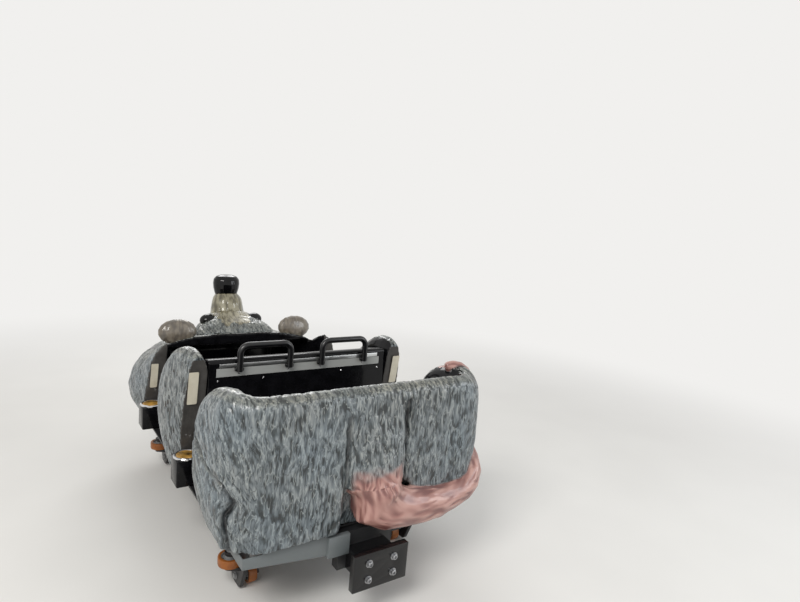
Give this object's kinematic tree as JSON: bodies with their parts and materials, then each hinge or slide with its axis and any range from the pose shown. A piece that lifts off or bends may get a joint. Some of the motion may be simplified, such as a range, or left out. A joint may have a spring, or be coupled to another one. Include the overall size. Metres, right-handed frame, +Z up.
{
  "type": "four-seat single roller coaster car with a moulded rodent body",
  "caption": "Short two-row roller coaster car with a moulded grey rodent body, curled tail, raised snout, lap bars and wheels round both rails.",
  "frame": {"origin": "centre of the car's box in plan, at the lowest point of the up-stop wheels", "axes": "+X to the car's right, +Y the way it travels, +Z up"},
  "size_m": [1.4688, 2.6504, 1.31],
  "materials": {
    "frame_paint": "satin dark grey paint",
    "floor_sheet": "black chequer sheet, worn",
    "carrier_paint": "satin black paint with grease",
    "wheel_urethane": "amber polyurethane tread on an aluminium rim",
    "buffer_black": "gloss black paint",
    "tray_sheet": "plain grey sheet",
    "fin_steel": "bare steel polished by the brakes",
    "fur_shell": "grey painted moulded fur under clear coat",
    "tail_skin": "pink painted wrinkled skin under clear coat",
    "muzzle_cream": "cream paint under clear coat",
    "gloss_black": "mirror-smooth black lacquer",
    "ear_shell": "grey-brown paint, lighter rim",
    "seat_black": "smooth black moulding",
    "cushion_vinyl": "black vinyl over foam",
    "trim_aluminium": "plain aluminium strip",
    "handle_black": "satin black powder coat",
    "lamp_chrome": "chromed ring round a pale lens",
    "bar_paint": "satin black powder coat",
    "pad_foam": "black skinned foam"
  },
  "bodies": {
    "car": {"frame_tubes": "frame_paint", "cross_members": "frame_paint", "floor_pan": "floor_sheet", "axles": "frame_paint", "carrier_fl": "carrier_paint", "carrier_fr": "carrier_paint", "carrier_rl": "carrier_paint", "carrier_rr": "carrier_paint", "rear_buffer": "buffer_black", "front_buffer": "buffer_black", "rear_tray": "tray_sheet", "brake_fin": "fin_steel", "chain_dog": "frame_paint", "rear_shell": "fur_shell", "tail": "tail_skin", "wing_left": "fur_shell", "wing_right": "fur_shell", "front_shell": "fur_shell", "head": "fur_shell", "muzzle": "muzzle_cream", "nose": "gloss_black", "eyes": "gloss_black", "ears": "ear_shell", "seat_row_1": "seat_black", "seat_row_2": "seat_black", "seat_cushions": "cushion_vinyl", "seat_trim": "trim_aluminium", "grab_handles": "handle_black", "sill_posts": "seat_black", "sill_lamps": "lamp_chrome", "bar_bases": "frame_paint"},
    "run_wheel_fl": {"run_wheel_fl": "wheel_urethane"},
    "guide_wheel_fl": {"guide_wheel_fl": "wheel_urethane"},
    "stop_wheel_fl": {"stop_wheel_fl": "wheel_urethane"},
    "run_wheel_fr": {"run_wheel_fr": "wheel_urethane"},
    "guide_wheel_fr": {"guide_wheel_fr": "wheel_urethane"},
    "stop_wheel_fr": {"stop_wheel_fr": "wheel_urethane"},
    "run_wheel_rl": {"run_wheel_rl": "wheel_urethane"},
    "guide_wheel_rl": {"guide_wheel_rl": "wheel_urethane"},
    "stop_wheel_rl": {"stop_wheel_rl": "wheel_urethane"},
    "run_wheel_rr": {"run_wheel_rr": "wheel_urethane"},
    "guide_wheel_rr": {"guide_wheel_rr": "wheel_urethane"},
    "stop_wheel_rr": {"stop_wheel_rr": "wheel_urethane"},
    "row_1_bar": {"lap_bar_1": "bar_paint", "lap_pads_1": "pad_foam"},
    "row_2_bar": {"lap_bar_2": "bar_paint", "lap_pads_2": "pad_foam"}
  },
  "joints": [
    {"name": "run_wheel_fl_turns", "type": "hinge", "parent": "car", "child": "run_wheel_fl", "pos_m": [-0.43, 0.76, 0.283], "axis": [1, 0, 0], "continuous": true},
    {"name": "guide_wheel_fl_turns", "type": "hinge", "parent": "car", "child": "guide_wheel_fl", "pos_m": [-0.535, 0.76, 0.148], "axis": [0, 0, 1], "continuous": true},
    {"name": "stop_wheel_fl_turns", "type": "hinge", "parent": "car", "child": "stop_wheel_fl", "pos_m": [-0.43, 0.76, 0.05], "axis": [1, 0, 0], "continuous": true},
    {"name": "run_wheel_fr_turns", "type": "hinge", "parent": "car", "child": "run_wheel_fr", "pos_m": [0.43, 0.76, 0.283], "axis": [1, 0, 0], "continuous": true},
    {"name": "guide_wheel_fr_turns", "type": "hinge", "parent": "car", "child": "guide_wheel_fr", "pos_m": [0.535, 0.76, 0.148], "axis": [0, 0, 1], "continuous": true},
    {"name": "stop_wheel_fr_turns", "type": "hinge", "parent": "car", "child": "stop_wheel_fr", "pos_m": [0.43, 0.76, 0.05], "axis": [1, 0, 0], "continuous": true},
    {"name": "run_wheel_rl_turns", "type": "hinge", "parent": "car", "child": "run_wheel_rl", "pos_m": [-0.43, -0.76, 0.283], "axis": [1, 0, 0], "continuous": true},
    {"name": "guide_wheel_rl_turns", "type": "hinge", "parent": "car", "child": "guide_wheel_rl", "pos_m": [-0.535, -0.76, 0.148], "axis": [0, 0, 1], "continuous": true},
    {"name": "stop_wheel_rl_turns", "type": "hinge", "parent": "car", "child": "stop_wheel_rl", "pos_m": [-0.43, -0.76, 0.05], "axis": [1, 0, 0], "continuous": true},
    {"name": "run_wheel_rr_turns", "type": "hinge", "parent": "car", "child": "run_wheel_rr", "pos_m": [0.43, -0.76, 0.283], "axis": [1, 0, 0], "continuous": true},
    {"name": "guide_wheel_rr_turns", "type": "hinge", "parent": "car", "child": "guide_wheel_rr", "pos_m": [0.535, -0.76, 0.148], "axis": [0, 0, 1], "continuous": true},
    {"name": "stop_wheel_rr_turns", "type": "hinge", "parent": "car", "child": "stop_wheel_rr", "pos_m": [0.43, -0.76, 0.05], "axis": [1, 0, 0], "continuous": true},
    {"name": "row_1_bar_lifts", "type": "hinge", "parent": "car", "child": "row_1_bar", "pos_m": [0, 0.41, 0.47], "axis": [-1, 0, 0], "range_deg": [0, 30]},
    {"name": "row_2_bar_lifts", "type": "hinge", "parent": "car", "child": "row_2_bar", "pos_m": [0, -0.37, 0.47], "axis": [-1, 0, 0], "range_deg": [0, 30]}
  ]
}
